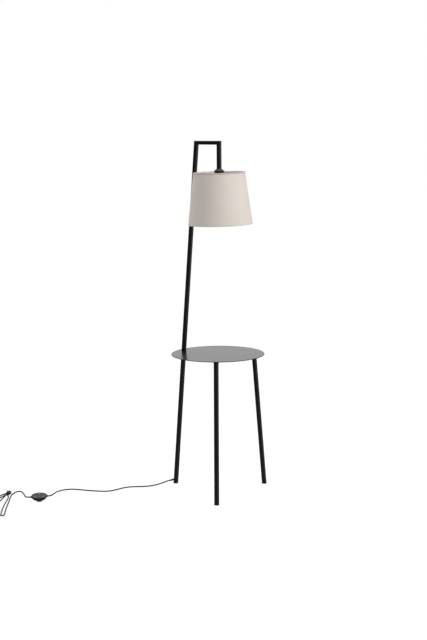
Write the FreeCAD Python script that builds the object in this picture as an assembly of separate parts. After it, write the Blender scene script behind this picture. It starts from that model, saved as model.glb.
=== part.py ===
import FreeCAD, Part
import math
import os

# Floor lamp with a round table top. Millimetres, +Z up, floor at z = 0.
# The origin is the middle of the lamp's footprint, without its lead.

Vector = FreeCAD.Vector
Rotation = FreeCAD.Rotation
Placement = FreeCAD.Placement

# stand and table
overall_height = 1510.0
tube_size = 16.0
tube_wall = 1.2
tube_corner = 1.7
lean = 4.85                   # degrees, every leg and the mast
leg_angle = 60.0              # side legs from the +X axis
table_radius = 200.0
foot_spread = 27.0            # leg axis at the floor, beyond the table's edge
table_height = 605.0          # top face
table_thickness = 3.0
table_edge = 0.6
crossbar_span = 113.0         # mast axis to drop axis
drop_length = 116.0           # from the crossbar's top to the drop tube's end

# leg heads
flange_thickness = 3.0
flange_length = 62.0
flange_width = 26.0
flange_overhang = 13.0        # beyond the leg's axis, outwards
stud_radius = 2.5
stud_length = 11.0
stud_first = 18.0             # from the leg's axis, inwards
stud_pitch = 20.0
stud_clearance = 0.4
washer_radius = 5.0
washer_thickness = 1.0
nut_across_flats = 8.0
nut_height = 4.0

# foot glides
glide_size = 16.8
glide_height = 4.0
glide_plug_height = 6.0
plug_clearance = 0.25

# spigot between mast and rear leg
spigot_size = 13.2
spigot_wall = 1.2
spigot_up = 45.0
spigot_down = 40.0
table_hole_clearance = 0.3
set_screw_radius = 2.5
set_screw_length = 3.4
set_screw_drop = 20.0         # below the flange
set_screw_socket = 1.25

# lampholder, depths measured down from the end of the drop tube
thread_radius = 5.0
thread_clearance = 0.05
nipple_bore = 3.9
nipple_up = 12.0
nipple_down = 12.0
insert_height = 12.0
cap_sheet = 1.0
cap_top_radius = 11.4
cap_rim_radius = 22.0
cap_cone_depth = 9.0
cap_depth = 14.0
dome_wall = 2.0
dome_top_radius = 9.0
dome_radius = 18.6
dome_slope_depth = 12.0
dome_depth = 26.0
holder_nut_across = 14.0
holder_nut_height = 3.0
body_spigot_depth = 6.0
body_spigot_wall = 1.6
shoulder_radius = 23.0
shoulder_thickness = 2.5
shoulder_depth = 31.0         # upper face
skirt_radius = 19.6
skirt_thread = 0.5
skirt_pitch = 3.0
skirt_end_depth = 62.0
skirt_bore = 16.6
core_top_depth = 22.0
core_thickness = 9.0
sleeve_radius = 14.4          # outside of the sleeve's crests
sleeve_sheet = 0.5
sleeve_thread = 0.7
lamp_thread_pitch = 3.6
sleeve_turns = 6

# shade
shade_top_radius = 109.5
shade_bottom_radius = 136.0
shade_height = 219.5
shade_top_depth = 14.5        # below the end of the drop tube
shade_sheet = 1.2
shade_lean = 1.2              # degrees out of level, as photographed
shade_heading = 32.5          # the shade's high side, degrees from +X
hem_width = 6.0
hem_sheet = 0.5
carrier_wire = 1.5            # radius
carrier_washer_radius = 27.5
carrier_washer_sheet = 1.5
carrier_arms = 3
carrier_level = 9.0           # level start of each arm
ring_clearance = 0.3
ring_radius = 26.0
ring_height = 8.0
ring_grooves = 24

# bulb
bulb_radius = 30.0
bulb_length = 104.0
bulb_neck_radius = 14.0
bulb_glass_wall = 0.8
bulb_base_length = 23.0
bulb_base_clearance = 0.35
bulb_tip_gap = 0.3
filament_radius = 0.9
filament_length = 30.0
filament_count = 4
filament_bead = 1.2           # disc that carries the filaments under the stem

# lead
cord_radius = 2.75
floor_gap = 0.05
bend_share = 0.45             # of the shorter run, taken by a bend
inner_bend = 13.0
inner_foot_offset = 3.6
cord_exit_height = 15.0
relief_collar_radius = 5.5
relief_collar = 1.5
relief_hole_clearance = 0.2
relief_neck_radius = 3.6
relief_root_radius = 4.6
relief_tip_radius = 3.2
relief_length = 21.0
relief_turn = 35.0            # degrees, swung towards the front
relief_drop = 12.0            # degrees, swung down
core_wire_radius = 0.9

# foot switch: a round inline switch that lies base up on its button
switch_x = -546.0
switch_y = -536.7
switch_heading = 42.0         # its cord axis
switch_tilt = 4.8             # degrees
switch_tilt_heading = 32.5    # the level direction of the tilt
switch_radius = 33.0
switch_height = 26.0
switch_wall = 2.0
switch_base_sheet = 2.5
switch_crown_radius = 19.0
switch_crown = 7.0            # crown above the button's tip
switch_button_radius = 12.45
switch_button_flange = 14.6
switch_button_travel = 2.5
switch_running_clearance = 0.3
switch_entry_depth = 5.9      # cord axis from the outer face of the base
switch_entry_length = 4.0
switch_entry_radius = 4.2
spring_wire = 0.5
spring_radius = 5.0
spring_turns = 4
module_length = 22.0
module_width = 16.0
module_height = 8.0

# hank and tie
tie_x = -721.35
tie_y = -539.0
bundle_heading = 290.0
strand_pitch = 6.1
tie_low = 4.1                 # height of the lower strands in the tie
tie_clearance = 0.15
tie_sheet = 1.0
tie_width = 7.0
tie_tail_width = 2.4
tie_tail_length = 15.0

# plug
plug_length = 36.0
plug_width = 35.0
plug_thickness = 13.7
plug_nose_length = 10.0
plug_nose_width = 25.0
pin_radius = 2.0
pin_length = 19.0
pin_pitch = 18.6
pin_sleeve_length = 10.0
pin_core = 1.5
pin_root = 8.0
plug_relief_length = 22.0

os.makedirs("parts", exist_ok=True)

half_tube = tube_size / 2
lean_angle = math.radians(lean)
lean_slope = math.tan(lean_angle)
foot_radius = table_radius + foot_spread
table_x = (foot_radius + glide_size / 2 - table_radius) / 2
table_under = table_height - table_thickness
flange_under = table_under - flange_thickness
crossbar_height = overall_height - half_tube
drop_x = table_x - foot_radius + lean_slope * crossbar_height + crossbar_span
drop_end_height = overall_height - drop_length
washer_under = flange_under - washer_thickness
nut_under = washer_under - nut_height


def save(name, shape):
    shape.exportStep(f"parts/{name}.step")
    box = shape.BoundBox
    print(f"{name:24s} {len(shape.Solids)} solid(s) {shape.Volume:12.1f} mm3  "
          f"z {box.ZMin:8.2f} to {box.ZMax:8.2f}  valid {shape.isValid()}")


def along(start, axis, side):
    """Placement whose Z runs along axis and whose Y lies nearest to side."""
    axis = Vector(axis).normalize()
    across = axis.cross(side).normalize() * -1
    return Placement(start, Rotation(across, axis.cross(across), axis, "ZXY"))


def rounded_square(size, corner, length):
    """Square prism about +Z with round edges."""
    half = size / 2
    flat = half - corner
    middle = flat + corner * math.sqrt(0.5)
    edges = []
    for quarter in range(4):
        turn = Rotation(Vector(0, 0, 1), 90 * quarter)
        points = [Vector(half, -flat, 0), Vector(half, flat, 0),
                  Vector(middle, middle, 0), Vector(flat, half, 0)]
        a, b, c, d = [turn.multVec(point) for point in points]
        edges.append(Part.LineSegment(a, b).toShape())
        edges.append(Part.Arc(b, c, d).toShape())
    return Part.Face(Part.Wire(edges)).extrude(Vector(0, 0, length))


def square_tube(start, end, side):
    """Rounded square tube round the line from start to end."""
    length = (end - start).Length
    bore_corner = max(tube_corner - tube_wall, 0.2)
    tube = rounded_square(tube_size, tube_corner, length)
    bore = rounded_square(tube_size - 2 * tube_wall, bore_corner, length)
    tube = tube.cut(bore)
    tube.Placement = along(start, end - start, side)
    return tube


def half_space(point, normal, size):
    """A box that fills the side of a plane that normal points to."""
    box = Part.makeBox(size, size, size, Vector(-size / 2, -size / 2, 0))
    box.Placement = Placement(point, Rotation(Vector(0, 0, 1), normal))
    return box


def revolve(points, top=0.0, x=0.0, y=0.0):
    """Solid of revolution about a vertical axis from radius and height pairs."""
    outline = Part.makePolygon([Vector(r, 0, z) for r, z in points + points[:1]])
    solid = Part.Face(outline).revolve(Vector(0, 0, 0), Vector(0, 0, 1), 360)
    return solid.translated(Vector(x, y, top))


def ring_wave(radius, height, top, pitch, turns):
    """Outline points of a rounded thread seen in section, from the top down."""
    points = []
    for step in range(2 * turns + 1):
        bulge = height if step % 2 else 0.0
        points.append((radius + bulge, top - step * pitch / 2))
    return points


def hexagon(across, height, centre):
    corner = across / math.sqrt(3)
    points = [Vector(corner * math.cos(math.radians(60 * k)),
                     corner * math.sin(math.radians(60 * k)), 0) for k in range(7)]
    nut = Part.Face(Part.makePolygon(points)).extrude(Vector(0, 0, height))
    return nut.translated(centre)


def route_wire(points, limit=None, share=bend_share):
    """Straight runs joined by tangent arcs. Gives the wire and the arc radii."""
    edges = []
    radii = []
    here = points[0]
    for before, corner, after in zip(points, points[1:], points[2:]):
        back = before - corner
        ahead = after - corner
        short_run = min(back.Length, ahead.Length)
        half_turn = (math.pi - back.getAngle(ahead)) / 2
        radius = share * short_run / math.tan(half_turn)
        if limit:
            radius = min(radius, limit)
        cut = radius * math.tan(half_turn)
        back.normalize()
        ahead.normalize()
        start = corner + back * cut
        end = corner + ahead * cut
        inward = (back + ahead).normalize()
        middle = corner + inward * (radius / math.cos(half_turn) - radius)
        edges.append(Part.LineSegment(here, start).toShape())
        edges.append(Part.Arc(start, middle, end).toShape())
        radii.append(radius)
        here = end
    edges.append(Part.LineSegment(here, points[-1]).toShape())
    return Part.Wire(edges), radii


def cord_tube(name, points, radius, limit=None):
    """Round cord along a route, with its bend radii and volume printed."""
    wire, radii = route_wire(points, limit)
    section = Part.Wire(Part.makeCircle(radius, points[0], points[1] - points[0]))
    tube = wire.makePipeShell([section], True, False)
    share = tube.Volume / (math.pi * radius ** 2 * wire.Length)
    print(f"{name}: length {wire.Length:.1f}, tightest bend {min(radii):.1f}, "
          f"volume against section times length {share:.4f}")
    print("   bends " + " ".join(f"{bend:.0f}" for bend in radii))
    return tube, wire


def self_gap(wire, radius, spacing=2.0):
    """Least gap of a tube to itself, measured on points along its line."""
    points = wire.discretize(Distance=spacing)
    skip = int(math.ceil(9 * radius / spacing))
    least = 1000.0
    for index, point in enumerate(points):
        for other in points[index + skip:]:
            least = min(least, point.distanceToPoint(other))
    return least - 2 * radius


# ---------------------------------------------------------------- the stand

def leg_axis(heading, height):
    """Point of a leg's axis at a height; heading is the leg's direction from the table's axis."""
    radius = foot_radius - lean_slope * height
    turn = math.radians(heading)
    return Vector(table_x + radius * math.cos(turn), radius * math.sin(turn), height)


def leg_tube(heading):
    start = leg_axis(heading, -tube_size)
    end = leg_axis(heading, table_height)
    tube = square_tube(start, end, Vector(0, 1, 0))
    keep = Part.makeBox(4 * table_radius, 4 * table_radius, flange_under - glide_height,
                        Vector(-2 * table_radius, -2 * table_radius, glide_height))
    return tube.common(keep)


def leg_frame(heading, height):
    """Level frame on the leg's axis with X pointing to the table's axis."""
    return Placement(leg_axis(heading, height), Rotation(Vector(0, 0, 1), heading + 180))


def stud_places(heading):
    frame = leg_frame(heading, table_under)
    return [frame.multVec(Vector(stud_first + stud_pitch * k, 0, 0)) for k in range(2)]


def leg_flange(heading, with_bore):
    corner = 4.0
    plate = Part.makeBox(flange_length, flange_width, flange_thickness,
                         Vector(-flange_overhang, -flange_width / 2, 0))
    upright = [edge for edge in plate.Edges if abs(edge.tangentAt(0).z) > 0.9]
    plate = plate.makeFillet(corner, upright)
    plate.Placement = leg_frame(heading, flange_under)
    for place in stud_places(heading):
        hole = Part.makeCylinder(stud_radius + stud_clearance, 3 * flange_thickness,
                                 place - Vector(0, 0, 2 * flange_thickness))
        plate = plate.cut(hole)
    if with_bore:
        plate = plate.cut(spigot_prism(spigot_size + 2 * table_hole_clearance, -1.0))
    return plate


def foot_glide(heading):
    """Square cap, level underneath, with a plug that follows the leaning bore."""
    centre = leg_axis(heading, 0)
    cap = rounded_square(glide_size, tube_corner, glide_height).translated(centre)
    bore = tube_size - 2 * tube_wall - 2 * plug_clearance
    plug = rounded_square(bore, 1.0, 3 * glide_plug_height)
    start = leg_axis(heading, glide_height / 2)
    plug.Placement = along(start, leg_axis(heading, glide_height * 2) - start, Vector(0, 1, 0))
    top = Part.makeBox(60, 60, glide_plug_height + glide_height / 2,
                       centre + Vector(-30, -30, glide_height / 2))
    return cap.fuse(plug.common(top)).removeSplitter()


def spigot_prism(size, inset):
    """Square prism along the rear leg's axis through the table; inset shortens both ends."""
    below = leg_axis(180, flange_under - spigot_down + inset)
    above = leg_axis(180, table_height + spigot_up - inset)
    prism = rounded_square(size, 1.0, (above - below).Length)
    prism.Placement = along(below, above - below, Vector(0, 1, 0))
    return prism


headings = {"rear": 180.0, "front": -leg_angle, "side": leg_angle}

table = Part.makeCylinder(table_radius, table_thickness, Vector(table_x, 0, table_under))
rim = [edge for edge in table.Edges if edge.Closed]
table = table.makeFillet(table_edge, rim)
table = table.cut(spigot_prism(spigot_size + 2 * table_hole_clearance, 0.0))
save("table_top", table)

studs = []
washers = []
nuts = []
for heading in headings.values():
    for place in stud_places(heading):
        studs.append(Part.makeCylinder(stud_radius, stud_length, place - Vector(0, 0, stud_length)))
        washer = Part.makeCylinder(washer_radius, washer_thickness)
        washer = washer.cut(Part.makeCylinder(stud_radius + stud_clearance, washer_thickness))
        washers.append(washer.translated(Vector(place.x, place.y, washer_under)))
        nut = hexagon(nut_across_flats, nut_height, Vector(0, 0, 0))
        nut = nut.cut(Part.makeCylinder(stud_radius + thread_clearance, nut_height))
        nuts.append(nut.translated(Vector(place.x, place.y, nut_under)))
save("table_studs", Part.makeCompound(studs))
save("leg_washers", Part.makeCompound(washers))
save("leg_nuts", Part.makeCompound(nuts))

# rear leg: hole for the lead near the foot, hole for the set screw near the top
rear_leg = leg_tube(180)
outer_face = Vector(-math.cos(lean_angle), 0, math.sin(lean_angle))
exit_axis = leg_axis(180, cord_exit_height)
exit_point = exit_axis + outer_face * half_tube
exit_hole = Part.makeCylinder(relief_neck_radius + relief_hole_clearance, half_tube,
                              exit_axis + outer_face * tube_wall, outer_face)
rear_leg = rear_leg.cut(exit_hole)
screw_axis = leg_axis(180, flange_under - set_screw_drop)
screw_out = outer_face * -1
screw_hole = Part.makeCylinder(set_screw_radius + thread_clearance, half_tube,
                               screw_axis + screw_out * tube_wall, screw_out)
rear_leg = rear_leg.cut(screw_hole)
save("rear_leg", rear_leg)
save("front_leg", leg_tube(headings["front"]))
save("side_leg", leg_tube(headings["side"]))
for name, heading in headings.items():
    save(f"{name}_leg_flange", leg_flange(heading, name == "rear"))
    save(f"{name}_foot_glide", foot_glide(heading))

screw_start = screw_axis + screw_out * (spigot_size / 2)
set_screw = Part.makeCylinder(set_screw_radius, set_screw_length, screw_start, screw_out)
key_start = screw_start + screw_out * (set_screw_length / 2)
key = hexagon(2 * set_screw_socket, set_screw_length, Vector(0, 0, 0))
key.Placement = Placement(key_start, Rotation(Vector(0, 0, 1), screw_out))
save("spigot_screw", set_screw.cut(key))

spigot = spigot_prism(spigot_size, 0.0).cut(spigot_prism(spigot_size - 2 * spigot_wall, -1.0))
save("mast_spigot", spigot)

# mast, crossbar and drop tube meet at mitres
mast_corner = leg_axis(180, crossbar_height)
drop_corner = Vector(drop_x, 0, crossbar_height)
mast_up = Vector(math.sin(lean_angle), 0, math.cos(lean_angle))
right = Vector(1, 0, 0)
down = Vector(0, 0, -1)
reach = 3 * tube_size
side = Vector(0, 1, 0)
cut_size = 2 * overall_height

mast = square_tube(leg_axis(180, table_height - reach), mast_corner + mast_up * reach, side)
mast = mast.cut(half_space(mast_corner, right + mast_up, cut_size))
mast = mast.cut(half_space(Vector(mast_corner.x, 0, table_height), down, 2 * overall_height))
save("mast_tube", mast)

crossbar = square_tube(mast_corner - right * reach, drop_corner + right * reach, side)
crossbar = crossbar.cut(half_space(mast_corner, (right + mast_up) * -1, cut_size))
crossbar = crossbar.cut(half_space(drop_corner, right + down, cut_size))
save("crossbar_tube", crossbar)

drop = square_tube(drop_corner - down * reach, Vector(drop_x, 0, drop_end_height), side)
drop = drop.cut(half_space(drop_corner, (right + down) * -1, cut_size))
save("drop_tube", drop)


# ---------------------------------------------------------- the lampholder

def turned(points):
    """Piece turned about the drop axis, from radius and depth pairs."""
    return revolve([(radius, -depth) for radius, depth in points], drop_end_height, drop_x)


def tube_ring(inner, outer, top, bottom):
    return turned([(inner, top), (outer, top), (outer, bottom), (inner, bottom)])


hole_radius = thread_radius + thread_clearance
insert = rounded_square(tube_size - 2 * tube_wall - 0.1, 0.4, insert_height)
insert = insert.translated(Vector(drop_x, 0, drop_end_height))
insert = insert.cut(Part.makeCylinder(hole_radius, insert_height, Vector(drop_x, 0, drop_end_height)))
save("drop_insert", insert)
save("holder_nipple", tube_ring(nipple_bore, thread_radius, -nipple_up, nipple_down))

cone = turned([
    (hole_radius, 0), (cap_top_radius, 0), (cap_rim_radius, cap_cone_depth), (cap_rim_radius, cap_depth),
    (cap_rim_radius - cap_sheet, cap_depth), (cap_rim_radius - cap_sheet, cap_cone_depth + cap_sheet / 2),
    (cap_top_radius - cap_sheet / 2, cap_sheet), (hole_radius, cap_sheet)])
save("cone_cap", cone)

dome_top = cap_sheet
dome = turned([
    (hole_radius, dome_top), (dome_top_radius, dome_top), (dome_radius, dome_slope_depth),
    (dome_radius, dome_depth), (dome_radius - dome_wall, dome_depth),
    (dome_radius - dome_wall, dome_slope_depth + dome_wall / 2),
    (dome_top_radius - dome_wall / 2, dome_top + dome_wall), (hole_radius, dome_top + dome_wall)])
save("socket_dome", dome)

nut_top = dome_top + dome_wall
holder_nut = hexagon(holder_nut_across, holder_nut_height,
                     Vector(drop_x, 0, drop_end_height - nut_top - holder_nut_height))
holder_nut = holder_nut.cut(tube_ring(0, hole_radius, nut_top - 1, nut_top + holder_nut_height + 1))
save("holder_nut", holder_nut)

# body: spigot up into the dome, shoulder for the shade, threaded skirt
spigot_outer = dome_radius - dome_wall - thread_clearance
spigot_inner = spigot_outer - body_spigot_wall
shoulder_under = shoulder_depth + shoulder_thickness
core_under = core_top_depth + core_thickness
skirt_top = shoulder_under + carrier_washer_sheet + 1.0
skirt_turns = int((skirt_end_depth - skirt_top - 2) / skirt_pitch)
thread = [(radius, -height) for radius, height in
          ring_wave(skirt_radius, skirt_thread, -skirt_top, skirt_pitch, skirt_turns)]
body = turned([
    (spigot_inner, dome_depth - body_spigot_depth), (spigot_outer, dome_depth - body_spigot_depth),
    (spigot_outer, dome_depth), (dome_radius + 1, dome_depth), (shoulder_radius, shoulder_depth),
    (shoulder_radius, shoulder_under), (skirt_radius, shoulder_under)] + thread + [
    (skirt_radius, skirt_end_depth), (skirt_bore, skirt_end_depth),
    (skirt_bore, core_under), (spigot_inner, core_under)])
save("socket_body", body)

core_radius = spigot_inner - thread_clearance
core = tube_ring(2.0, core_radius, core_top_depth, core_under)
for turn in (0, 180):
    slot = Part.makeBox(5, 8, core_thickness, Vector(6.5, -4, 0))
    slot.Placement = Placement(Vector(drop_x, 0, drop_end_height - core_top_depth - core_thickness + 2.5),
                               Rotation(Vector(0, 0, 1), turn))
    core = core.cut(slot)
save("socket_core", core)

# screw sleeve for the bulb, a pressed sheet with a rounded thread
sleeve_low = sleeve_radius - sleeve_thread
sleeve_top = core_under
outer_wave = [(radius, -height) for radius, height in
              ring_wave(sleeve_low, sleeve_thread, -sleeve_top - 1.8, lamp_thread_pitch, sleeve_turns)]
inner_wave = [(radius - sleeve_sheet, depth) for radius, depth in reversed(outer_wave)]
sleeve_end = outer_wave[-1][1]
sleeve = turned([(6.0, sleeve_top), (sleeve_low, sleeve_top)] + outer_wave
                + [(sleeve_low, sleeve_end + 1), (sleeve_low - sleeve_sheet, sleeve_end + 1)]
                + inner_wave + [(sleeve_low - sleeve_sheet, sleeve_top + sleeve_sheet),
                                (6.0, sleeve_top + sleeve_sheet)])
save("socket_sleeve", sleeve)

# contacts: a sprung centre tongue under the core, and two terminal plates on top
tongue_depth = core_under
tongue = Part.makeBox(4.4, 4.0, 0.6, Vector(drop_x - 2.2, -2.0, drop_end_height - tongue_depth - 0.6))
tongue_leaf = Part.makeBox(7.0, 3.0, 0.5, Vector(-3.5, -1.5, 0))
leaf_start = Vector(drop_x, 0, drop_end_height - tongue_depth - 1.3)
tongue_leaf.Placement = Placement(leaf_start, Rotation(Vector(0, 1, 0), 8))
tongue = tongue.fuse(tongue_leaf).removeSplitter()
plates = [tongue]
screws = []
for sign in (-1, 1):
    plate_x = drop_x + sign * 9.0
    plate_z = drop_end_height - core_under + 2.5
    plate = Part.makeBox(4.4, 7.4, 1.0, Vector(plate_x - 2.2, -3.7, plate_z))
    hole = Part.makeCylinder(1.25, 1.0, Vector(plate_x, 0, plate_z))
    plates.append(plate.cut(hole))
    shank = Part.makeCylinder(1.2, 3.2, Vector(plate_x, 0, plate_z))
    head = Part.makeCylinder(1.8, 1.4, Vector(plate_x, 0, plate_z + 1.0 + 1.2))
    groove = Part.makeBox(4.4, 0.6, 0.6, Vector(plate_x - 2.2, -0.3, plate_z + 3.0))
    screws.append(shank.fuse(head).cut(groove).removeSplitter())
save("socket_contacts", Part.makeCompound(plates))
save("terminal_screws", Part.makeCompound(screws))

# retaining ring under the shade's washer
washer_top = shoulder_under + 0.05
ring_top = washer_top + carrier_washer_sheet + 0.05
ring_inner = skirt_radius + skirt_thread + ring_clearance
shade_ring = turned([
    (ring_inner, ring_top), (ring_radius - 0.8, ring_top), (ring_radius, ring_top + 0.8),
    (ring_radius, ring_top + ring_height - 1.5), (ring_radius - 1.5, ring_top + ring_height),
    (ring_inner, ring_top + ring_height)])
for index in range(ring_grooves):
    turn = 2 * math.pi * index / ring_grooves
    groove = Part.makeCylinder(0.9, ring_height + 1,
                               Vector(drop_x + (ring_radius + 0.3) * math.cos(turn),
                                      (ring_radius + 0.3) * math.sin(turn),
                                      drop_end_height - ring_top - ring_height - 0.5))
    shade_ring = shade_ring.cut(groove)
save("shade_ring", shade_ring)


# ----------------------------------------------------------------- the shade
# The shade is a frustum that hangs slightly out of level about the carrier's washer.
# Its own frame has its origin in the middle of its top edge.

washer_centre = Vector(drop_x, 0, drop_end_height - washer_top)
shade_drop = washer_top - shade_top_depth
lean_axis = Rotation(Vector(0, 0, 1), shade_heading).multVec(Vector(0, -1, 0))
shade_place = Placement(washer_centre, Rotation(lean_axis, shade_lean)).multiply(
    Placement(Vector(0, 0, shade_drop), Rotation()))
shade_slope = (shade_bottom_radius - shade_top_radius) / shade_height


def shade_radius(depth):
    """Outer radius of the fabric at a depth below the shade's top edge."""
    return shade_top_radius + shade_slope * depth


def band(top, bottom, outer, inner):
    """Slanting band of the shade between two depths, offsets from the fabric's outside."""
    solid = revolve([
        (shade_radius(top) + outer, -top), (shade_radius(bottom) + outer, -bottom),
        (shade_radius(bottom) + inner, -bottom), (shade_radius(top) + inner, -top)])
    solid.Placement = shade_place
    return solid


save("shade_skin", band(0.0, shade_height, 0.0, -shade_sheet))
save("shade_top_hem", band(0.0, hem_width, hem_sheet, 0.0))
save("shade_bottom_hem", band(shade_height - hem_width, shade_height, hem_sheet, 0.0))


def wire_ring(depth):
    """Radius of a wire ring that lies inside the skin at a depth."""
    return shade_radius(depth) - shade_sheet - carrier_wire - 0.1


top_ring_depth = 2 * carrier_wire
bottom_ring_depth = shade_height - 2 * carrier_wire
bottom_ring = Part.makeTorus(wire_ring(bottom_ring_depth), carrier_wire, Vector(0, 0, -bottom_ring_depth))
bottom_ring.Placement = shade_place.multiply(bottom_ring.Placement)
save("shade_bottom_ring", bottom_ring)

carrier_ring = Part.makeTorus(wire_ring(top_ring_depth), carrier_wire, Vector(0, 0, -top_ring_depth))
carrier_ring.Placement = shade_place.multiply(carrier_ring.Placement)
carrier = tube_ring(skirt_radius + skirt_thread + ring_clearance, carrier_washer_radius,
                    washer_top, washer_top + carrier_washer_sheet)
washer_middle = drop_end_height - washer_top - carrier_washer_sheet / 2
for index in range(carrier_arms):
    turn = math.radians(shade_heading + 90 + 360 * index / carrier_arms)
    outward = Vector(math.cos(turn), math.sin(turn), 0)
    inner_end = Vector(drop_x, 0, washer_middle) + outward * (carrier_washer_radius - 1.0)
    ring_point = shade_place.multVec(outward * wire_ring(top_ring_depth) - Vector(0, 0, top_ring_depth))
    level_point = inner_end + outward * carrier_level
    arm, radii = route_wire([inner_end, level_point, ring_point])
    section = Part.Wire(Part.makeCircle(carrier_wire, inner_end, outward))
    carrier = carrier.fuse(arm.makePipeShell([section], True, False))
carrier = carrier.fuse(carrier_ring)
save("shade_carrier", carrier)


# ------------------------------------------------------------------ the bulb

bulb_top = core_under + 1.9 + bulb_tip_gap
base_low = sleeve_low - sleeve_sheet - bulb_base_clearance - sleeve_thread
base_wave = [(radius, -height) for radius, height in
             ring_wave(base_low, sleeve_thread, -bulb_top - 5.0, lamp_thread_pitch, 4)]
base_end = bulb_top + bulb_base_length
bulb_base = turned([
    (0, bulb_top), (4.5, bulb_top), (5.0, bulb_top + 1.2), (base_low - 2.5, bulb_top + 2.6),
    (base_low, bulb_top + 4.5)] + base_wave + [
    (base_low, base_end - 2), (base_low + 0.4, base_end), (base_low - 0.6, base_end),
    (base_low - 0.6, bulb_top + 5.2), (0, bulb_top + 3.2)])
save("bulb_base", bulb_base)


def bulb_profile(inset):
    """Half outline of the pear-shaped envelope as edges, inset by the glass thickness."""
    neck = base_low - 0.8 - inset
    start = base_end - 6
    ball = bulb_top + bulb_length - bulb_radius
    radius = bulb_radius - inset
    shoulder_turn = math.radians(40)
    shoulder = Vector(radius * math.cos(shoulder_turn), 0, -ball + radius * math.sin(shoulder_turn))
    neck_end = Vector(neck, 0, -base_end - 6)
    bend = Vector((shoulder.x + neck) / 2 - 2.2, 0, (shoulder.z + neck_end.z) / 2 + 1.0)
    side_point = Vector(radius, 0, -ball)
    tip = Vector(0, 0, -ball - radius)
    upper = Vector(radius * math.cos(shoulder_turn / 2), 0, -ball + radius * math.sin(shoulder_turn / 2))
    lower = Vector(radius * math.cos(math.pi / 4), 0, -ball - radius * math.sin(math.pi / 4))
    first = Vector(neck, 0, -start)
    return [Part.LineSegment(first, neck_end).toShape(),
            Part.Arc(neck_end, bend, shoulder).toShape(),
            Part.Arc(shoulder, upper, side_point).toShape(),
            Part.Arc(side_point, lower, tip).toShape()], first, tip


def bulb_solid(inset):
    edges, first, tip = bulb_profile(inset)
    axis_top = Vector(0, 0, first.z)
    edges += [Part.LineSegment(tip, axis_top).toShape(), Part.LineSegment(axis_top, first).toShape()]
    solid = Part.Face(Part.Wire(edges)).revolve(Vector(0, 0, 0), Vector(0, 0, 1), 360)
    return solid.translated(Vector(drop_x, 0, drop_end_height))


glass = bulb_solid(0.0).cut(bulb_solid(bulb_glass_wall))
save("bulb_glass", glass)

stem_end = base_end + 22
stem = turned([
    (0, base_end - 5.5), (base_low - 0.8 - bulb_glass_wall - 0.2, base_end - 5.5), (6.5, base_end + 1),
    (3.0, base_end + 5), (2.2, stem_end), (0, stem_end)])
save("bulb_stem", stem)

filaments = []
for index in range(filament_count):
    turn = 2 * math.pi * (index + 0.5) / filament_count
    outward = Vector(math.cos(turn), math.sin(turn), 0)
    foot = Vector(drop_x, 0, drop_end_height - stem_end - filament_bead / 2) + outward * 2.4
    head = Vector(drop_x, 0, drop_end_height - stem_end - filament_length + 4) + outward * 8.0
    filament = Part.makeCylinder(filament_radius, (head - foot).Length, foot, head - foot)
    filaments.append(filament)
bead = Part.makeCylinder(3.2, filament_bead, Vector(drop_x, 0, drop_end_height - stem_end - filament_bead))
hub = Part.makeCylinder(2.5, 1.4, Vector(drop_x, 0, drop_end_height - stem_end - filament_length + 3))
spokes = [bead, hub]
for index in range(filament_count):
    turn = 2 * math.pi * (index + 0.5) / filament_count
    outward = Vector(math.cos(turn), math.sin(turn), 0)
    spokes.append(Part.makeCylinder(0.5, 7.5, hub.CenterOfMass, outward))
cluster = filaments[0].multiFuse(filaments[1:] + spokes)
save("bulb_filaments", cluster)


# ------------------------------------------------------------------ the lead

collar_inner = exit_axis + outer_face * (half_tube - tube_wall)
neck = Part.makeCylinder(relief_neck_radius, tube_wall + relief_collar, collar_inner, outer_face)
collar_out = Part.makeCylinder(relief_collar_radius, relief_collar, exit_point, outer_face)
collar_in = Part.makeCylinder(relief_collar_radius, relief_collar, collar_inner, outer_face * -1)
swing = Rotation(Vector(0, 0, 1), relief_turn)
relief_axis = swing.multVec(Vector(-math.cos(math.radians(relief_drop)), 0, -math.sin(math.radians(relief_drop))))
cone_start = exit_point + outer_face * (relief_collar * 0.6)
taper = Part.makeCone(relief_root_radius, relief_tip_radius, relief_length, cone_start, relief_axis)
knuckle = Part.makeSphere(relief_root_radius, cone_start)
outside = half_space(exit_point, outer_face, 4 * relief_length)
relief = neck.fuse([collar_out, collar_in, taper.fuse(knuckle).common(outside)]).removeSplitter()
save("cord_relief", relief)
relief_tip = cone_start + relief_axis * relief_length

cord_z = cord_radius + floor_gap
cord_1_points = [
    relief_tip, relief_tip + relief_axis * 13.0, Vector(-253.0, -38.0, 3.6), Vector(-259.5, -66.0, cord_z),
    Vector(-267.0, -96.0, cord_z), Vector(-285.0, -123.0, cord_z), Vector(-318.0, -147.0, cord_z),
    Vector(-345.0, -168.0, cord_z), Vector(-358.5, -197.0, cord_z), Vector(-363.5, -226.0, cord_z),
    Vector(-372.5, -255.0, cord_z), Vector(-390.0, -279.0, cord_z), Vector(-424.0, -293.5, cord_z),
    Vector(-460.0, -305.0, cord_z), Vector(-497.0, -313.0, cord_z), Vector(-531.0, -322.0, cord_z),
    Vector(-552.0, -338.0, cord_z), Vector(-559.0, -363.0, 4.6), Vector(-552.0, -392.0, 9.2),
    Vector(-540.5, -419.0, 15.2), Vector(-527.8, -442.5, 20.6), Vector(-516.6, -461.5, 24.8),
    Vector(-507.8, -476.4, 27.4), Vector(-504.2, -491.0, 27.4),
]


# ---------------------------------------------------------- the foot switch
# Modelled upright on its button: z = 0 at the button's tip, z = height at the base.

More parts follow.
